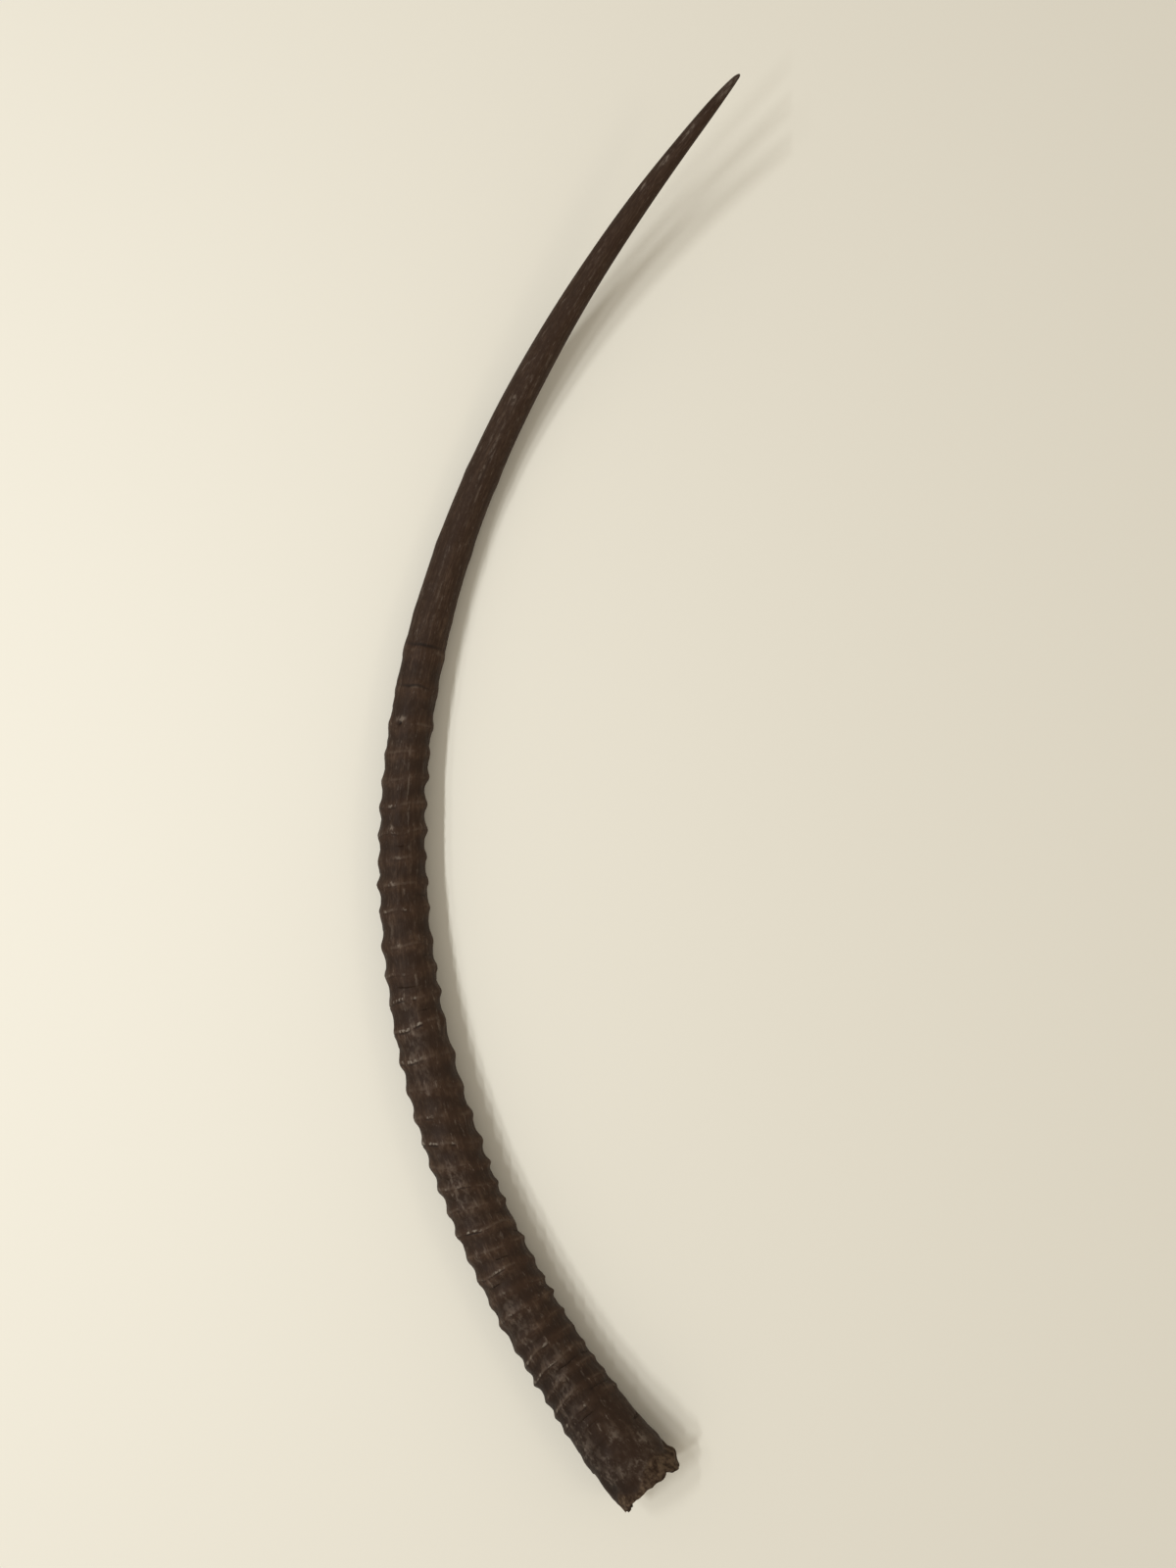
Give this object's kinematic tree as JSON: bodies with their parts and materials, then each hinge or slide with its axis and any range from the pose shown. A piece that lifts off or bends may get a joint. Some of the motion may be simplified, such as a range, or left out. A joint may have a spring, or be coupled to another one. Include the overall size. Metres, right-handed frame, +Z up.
{
  "type": "gemsbok horn",
  "caption": "Long, slender, curved antelope horn with growth rings on its lower part, a smooth pointed tip and an open socket in its base, lying on its side.",
  "frame": {"origin": "middle of the bounding box's underside, on the surface that the horn lies on", "axes": "+Z up; the horn leaves its open base along +Y and curves towards +X; its rim faces -Y"},
  "size_m": [0.6468, 0.645, 0.0618],
  "materials": {
    "horn": "dull dark brown horn keratin: fibrous, worn grey on the rings, satin towards the tip"
  },
  "bodies": {
    "root": {"horn": "horn"}
  },
  "joints": []
}
